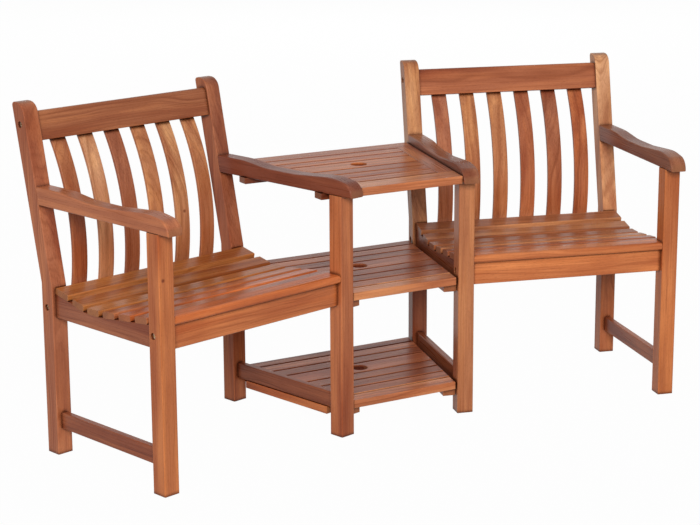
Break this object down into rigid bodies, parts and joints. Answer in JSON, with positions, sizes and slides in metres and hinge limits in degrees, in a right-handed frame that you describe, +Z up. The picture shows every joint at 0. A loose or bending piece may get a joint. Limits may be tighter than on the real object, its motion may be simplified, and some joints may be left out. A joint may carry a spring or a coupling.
{
  "type": "companion seat bench",
  "caption": "Two slatted wooden armchairs turned towards each other and joined by a three-tier slatted table with a parasol hole.",
  "frame": {"origin": "on the ground, in the middle of the seat's width and depth", "axes": "+Z up, the seats face -Y, +X to the right of someone who looks at the front"},
  "size_m": [1.8314, 0.7398, 0.888],
  "materials": {
    "oiled_hardwood_frame": "oiled tropical hardwood, planed, satin",
    "oiled_hardwood_back_slats": "oiled tropical hardwood, planed and bent, satin",
    "oiled_hardwood_seat": "oiled tropical hardwood, planed, satin",
    "oiled_hardwood_table": "oiled tropical hardwood, planed, satin",
    "zinc_plated_steel": "zinc plated"
  },
  "bodies": {
    "root": {"left_back_slats": "oiled_hardwood_back_slats", "left_barrel_nuts": "zinc_plated_steel", "left_batten_screws": "zinc_plated_steel", "left_crest_rail": "oiled_hardwood_frame", "left_frame_bolts": "zinc_plated_steel", "left_front_apron": "oiled_hardwood_frame", "left_inner_arm": "oiled_hardwood_frame", "left_inner_front_leg": "oiled_hardwood_frame", "left_inner_rear_post": "oiled_hardwood_frame", "left_inner_side_rail": "oiled_hardwood_frame", "left_inner_stretcher": "oiled_hardwood_frame", "left_low_batten": "oiled_hardwood_table", "left_mid_batten": "oiled_hardwood_table", "left_outer_arm": "oiled_hardwood_frame", "left_outer_front_leg": "oiled_hardwood_frame", "left_outer_rear_post": "oiled_hardwood_frame", "left_outer_side_rail": "oiled_hardwood_frame", "left_outer_stretcher": "oiled_hardwood_frame", "left_rear_rail": "oiled_hardwood_frame", "left_seat_nosing": "oiled_hardwood_seat", "left_seat_screws": "zinc_plated_steel", "left_seat_slats": "oiled_hardwood_seat", "low_shelf_centre_board": "oiled_hardwood_table", "low_shelf_slats": "oiled_hardwood_table", "mid_shelf_centre_board": "oiled_hardwood_table", "mid_shelf_slats": "oiled_hardwood_table", "right_back_slats": "oiled_hardwood_back_slats", "right_barrel_nuts": "zinc_plated_steel", "right_batten_screws": "zinc_plated_steel", "right_crest_rail": "oiled_hardwood_frame", "right_frame_bolts": "zinc_plated_steel", "right_front_apron": "oiled_hardwood_frame", "right_inner_arm": "oiled_hardwood_frame", "right_inner_front_leg": "oiled_hardwood_frame", "right_inner_rear_post": "oiled_hardwood_frame", "right_inner_side_rail": "oiled_hardwood_frame", "right_inner_stretcher": "oiled_hardwood_frame", "right_low_batten": "oiled_hardwood_table", "right_mid_batten": "oiled_hardwood_table", "right_outer_arm": "oiled_hardwood_frame", "right_outer_front_leg": "oiled_hardwood_frame", "right_outer_rear_post": "oiled_hardwood_frame", "right_outer_side_rail": "oiled_hardwood_frame", "right_outer_stretcher": "oiled_hardwood_frame", "right_rear_rail": "oiled_hardwood_frame", "right_seat_nosing": "oiled_hardwood_seat", "right_seat_screws": "zinc_plated_steel", "right_seat_slats": "oiled_hardwood_seat", "table_centre_board": "oiled_hardwood_table", "table_front_bearer": "oiled_hardwood_table", "table_front_board": "oiled_hardwood_table", "table_left_side_board": "oiled_hardwood_table", "table_rear_bearer": "oiled_hardwood_table", "table_rear_board": "oiled_hardwood_table", "table_right_side_board": "oiled_hardwood_table", "table_screws": "zinc_plated_steel", "table_top_slats": "oiled_hardwood_table"}
  },
  "joints": []
}
